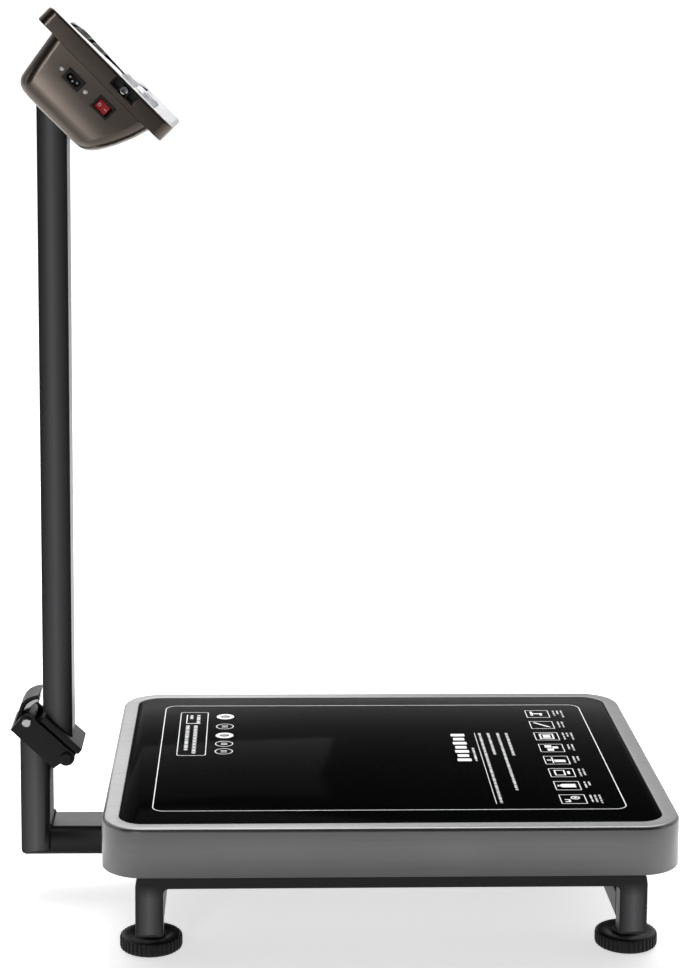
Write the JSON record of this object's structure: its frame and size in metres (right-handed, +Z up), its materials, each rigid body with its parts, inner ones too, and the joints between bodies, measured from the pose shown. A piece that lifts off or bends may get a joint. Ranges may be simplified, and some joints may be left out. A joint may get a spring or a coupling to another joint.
{
  "type": "label printing platform scale",
  "caption": "Bench platform scale with levelling feet, a lift-off steel and glass tray, a folding side column and a tilted indicator head that prints labels.",
  "frame": {"origin": "middle of the whole scale at floor level, under the feet", "axes": "+X towards the operator's end of the platform, away from the column; +Y to the side away from the mains inlet; +Z up"},
  "size_m": [0.5928, 0.4, 0.8129],
  "materials": {
    "powder": "black powder coat",
    "tray_steel": "satin stainless sheet",
    "glass_black": "black tempered glass",
    "knob_black": "moulded black",
    "stud_zinc": "zinc plated",
    "sole_rubber": "black rubber",
    "cell_aluminium": "milled",
    "spider_paint": "grey paint",
    "pin_chrome": "polished",
    "hinge_cast": "black paint",
    "head_steel": "satin stainless sheet",
    "panel_light": "light grey overlay",
    "window_clear": "tinted clear window",
    "board_green": "circuit board",
    "battery_grey": "moulded case",
    "moulding_black": "moulded black",
    "rocker_red": "translucent red",
    "key_grey": "silicone key",
    "door_light": "light grey",
    "paper_white": "label stock",
    "roller_rubber": "dark rubber on a plastic core",
    "gear_white": "moulded"
  },
  "bodies": {
    "chassis": {"front_arch": "powder", "rear_arch": "powder", "side_beam_left": "powder", "side_beam_right": "powder", "cross_beam": "powder", "column_bracket": "powder", "hinge_cup": "hinge_cast", "hinge_pin": "hinge_cast", "latch_pin": "pin_chrome", "load_cell": "cell_aluminium", "load_plate": "spider_paint", "tray_strip_left": "sole_rubber", "tray_strip_right": "sole_rubber"},
    "tray": {"tray_shell": "tray_steel", "glass_inlay": "glass_black"},
    "column": {"column_tube": "powder", "hinge_leaf": "hinge_cast", "head_housing": "head_steel", "head_lid": "head_steel", "face_panel": "panel_light", "display_window": "window_clear", "display_board": "board_green", "main_board": "board_green", "battery": "battery_grey", "power_board": "board_green", "mains_inlet": "moulding_black", "rocker_bezel": "moulding_black", "port_upper": "moulding_black", "port_lower": "moulding_black", "printer_frame": "moulding_black", "print_head": "cell_aluminium", "feed_motor": "stud_zinc"},
    "latch": {"latch_lever": "hinge_cast", "latch_cam": "pin_chrome"},
    "power_rocker": {"rocker": "rocker_red"},
    "door": {"printer_door": "door_light"},
    "roll": {"label_roll": "paper_white"},
    "platen": {"platen_roller": "roller_rubber"},
    "pinion": {"feed_pinion": "gear_white"},
    "foot_lift_front_left": {"foot_sole_front_left": "sole_rubber"},
    "foot_turn_front_left": {"foot_knob_front_left": "knob_black", "foot_stud_front_left": "stud_zinc"},
    "foot_lift_rear_left": {"foot_sole_rear_left": "sole_rubber"},
    "foot_turn_rear_left": {"foot_knob_rear_left": "knob_black", "foot_stud_rear_left": "stud_zinc"},
    "foot_lift_front_right": {"foot_sole_front_right": "sole_rubber"},
    "foot_turn_front_right": {"foot_knob_front_right": "knob_black", "foot_stud_front_right": "stud_zinc"},
    "foot_lift_rear_right": {"foot_sole_rear_right": "sole_rubber"},
    "foot_turn_rear_right": {"foot_knob_rear_right": "knob_black", "foot_stud_rear_right": "stud_zinc"},
    "key_1_body": {"key_1": "key_grey"},
    "key_2_body": {"key_2": "key_grey"},
    "key_3_body": {"key_3": "key_grey"},
    "key_4_body": {"key_4": "key_grey"},
    "key_5_body": {"key_5": "key_grey"},
    "key_6_body": {"key_6": "key_grey"},
    "key_7_body": {"key_7": "key_grey"},
    "key_8_body": {"key_8": "key_grey"}
  },
  "joints": [
    {"name": "tray_lift", "type": "slide", "parent": "chassis", "child": "tray", "axis": [0, 0, 1], "range_m": [0, 0.008]},
    {"name": "column_fold", "type": "hinge", "parent": "chassis", "child": "column", "pos_m": [-0.24566, 0, 0.1308], "axis": [0, 1, 0], "range_deg": [0, 80]},
    {"name": "latch_release", "type": "hinge", "parent": "chassis", "child": "latch", "pos_m": [-0.28135, 0, 0.16467], "axis": [0, -1, 0], "range_deg": [0, 60]},
    {"name": "foot_travel_front_left", "type": "slide", "parent": "chassis", "child": "foot_lift_front_left", "axis": [0, 0, 1], "range_m": [-0.008, 0.006]},
    {"name": "foot_screw_front_left", "type": "hinge", "parent": "foot_lift_front_left", "child": "foot_turn_front_left", "pos_m": [-0.16206, -0.152, 0], "axis": [0, 0, 1], "range_deg": [-1921, 1441]},
    {"name": "foot_travel_rear_left", "type": "slide", "parent": "chassis", "child": "foot_lift_rear_left", "axis": [0, 0, 1], "range_m": [-0.008, 0.006]},
    {"name": "foot_screw_rear_left", "type": "hinge", "parent": "foot_lift_rear_left", "child": "foot_turn_rear_left", "pos_m": [-0.16206, 0.152, 0], "axis": [0, 0, 1], "range_deg": [-1921, 1441]},
    {"name": "foot_travel_front_right", "type": "slide", "parent": "chassis", "child": "foot_lift_front_right", "axis": [0, 0, 1], "range_m": [-0.008, 0.006]},
    {"name": "foot_screw_front_right", "type": "hinge", "parent": "foot_lift_front_right", "child": "foot_turn_front_right", "pos_m": [0.25494, -0.152, 0], "axis": [0, 0, 1], "range_deg": [-1921, 1441]},
    {"name": "foot_travel_rear_right", "type": "slide", "parent": "chassis", "child": "foot_lift_rear_right", "axis": [0, 0, 1], "range_m": [-0.008, 0.006]},
    {"name": "foot_screw_rear_right", "type": "hinge", "parent": "foot_lift_rear_right", "child": "foot_turn_rear_right", "pos_m": [0.25494, 0.152, 0], "axis": [0, 0, 1], "range_deg": [-1921, 1441]},
    {"name": "rocker_tip", "type": "hinge", "parent": "column", "child": "power_rocker", "pos_m": [-0.20286, -0.091, 0.72783], "axis": [0.7071, 0, 0.7071], "range_deg": [0, 14]},
    {"name": "key_1_press", "type": "slide", "parent": "column", "child": "key_1_body", "axis": [-0.7071, 0, -0.7071], "range_m": [0, 0.0008], "stiffness_N_per_m": 600, "springref_m": -0.0006},
    {"name": "key_2_press", "type": "slide", "parent": "column", "child": "key_2_body", "axis": [-0.7071, 0, -0.7071], "range_m": [0, 0.0008], "stiffness_N_per_m": 600, "springref_m": -0.0006},
    {"name": "key_3_press", "type": "slide", "parent": "column", "child": "key_3_body", "axis": [-0.7071, 0, -0.7071], "range_m": [0, 0.0008], "stiffness_N_per_m": 600, "springref_m": -0.0006},
    {"name": "key_4_press", "type": "slide", "parent": "column", "child": "key_4_body", "axis": [-0.7071, 0, -0.7071], "range_m": [0, 0.0008], "stiffness_N_per_m": 600, "springref_m": -0.0006},
    {"name": "key_5_press", "type": "slide", "parent": "column", "child": "key_5_body", "axis": [-0.7071, 0, -0.7071], "range_m": [0, 0.0008], "stiffness_N_per_m": 600, "springref_m": -0.0006},
    {"name": "key_6_press", "type": "slide", "parent": "column", "child": "key_6_body", "axis": [-0.7071, 0, -0.7071], "range_m": [0, 0.0008], "stiffness_N_per_m": 600, "springref_m": -0.0006},
    {"name": "key_7_press", "type": "slide", "parent": "column", "child": "key_7_body", "axis": [-0.7071, 0, -0.7071], "range_m": [0, 0.0008], "stiffness_N_per_m": 600, "springref_m": -0.0006},
    {"name": "key_8_press", "type": "slide", "parent": "column", "child": "key_8_body", "axis": [-0.7071, 0, -0.7071], "range_m": [0, 0.0008], "stiffness_N_per_m": 600, "springref_m": -0.0006},
    {"name": "door_open", "type": "hinge", "parent": "column", "child": "door", "pos_m": [-0.23489, 0.06, 0.80031], "axis": [0, -1, 0], "range_deg": [0, 110]},
    {"name": "roll_turn", "type": "hinge", "parent": "column", "child": "roll", "pos_m": [-0.23157, 0.06, 0.75244], "axis": [0, 1, 0], "continuous": true},
    {"name": "platen_turn", "type": "hinge", "parent": "column", "child": "platen", "pos_m": [-0.18066, 0.06, 0.7284], "axis": [0, 1, 0], "continuous": true},
    {"name": "pinion_turn", "type": "hinge", "parent": "column", "child": "pinion", "pos_m": [-0.18657, 0.06, 0.71571], "axis": [0, 1, 0], "continuous": true}
  ],
  "couplings": [
    {"joint": "foot_screw_front_left", "follows": "foot_travel_front_left", "rad_per_m": 4188.8},
    {"joint": "foot_screw_rear_left", "follows": "foot_travel_rear_left", "rad_per_m": 4188.8},
    {"joint": "foot_screw_front_right", "follows": "foot_travel_front_right", "rad_per_m": 4188.8},
    {"joint": "foot_screw_rear_right", "follows": "foot_travel_rear_right", "rad_per_m": 4188.8},
    {"joint": "platen_turn", "follows": "roll_turn", "ratio": 4.2},
    {"joint": "pinion_turn", "follows": "roll_turn", "ratio": -5.6}
  ]
}
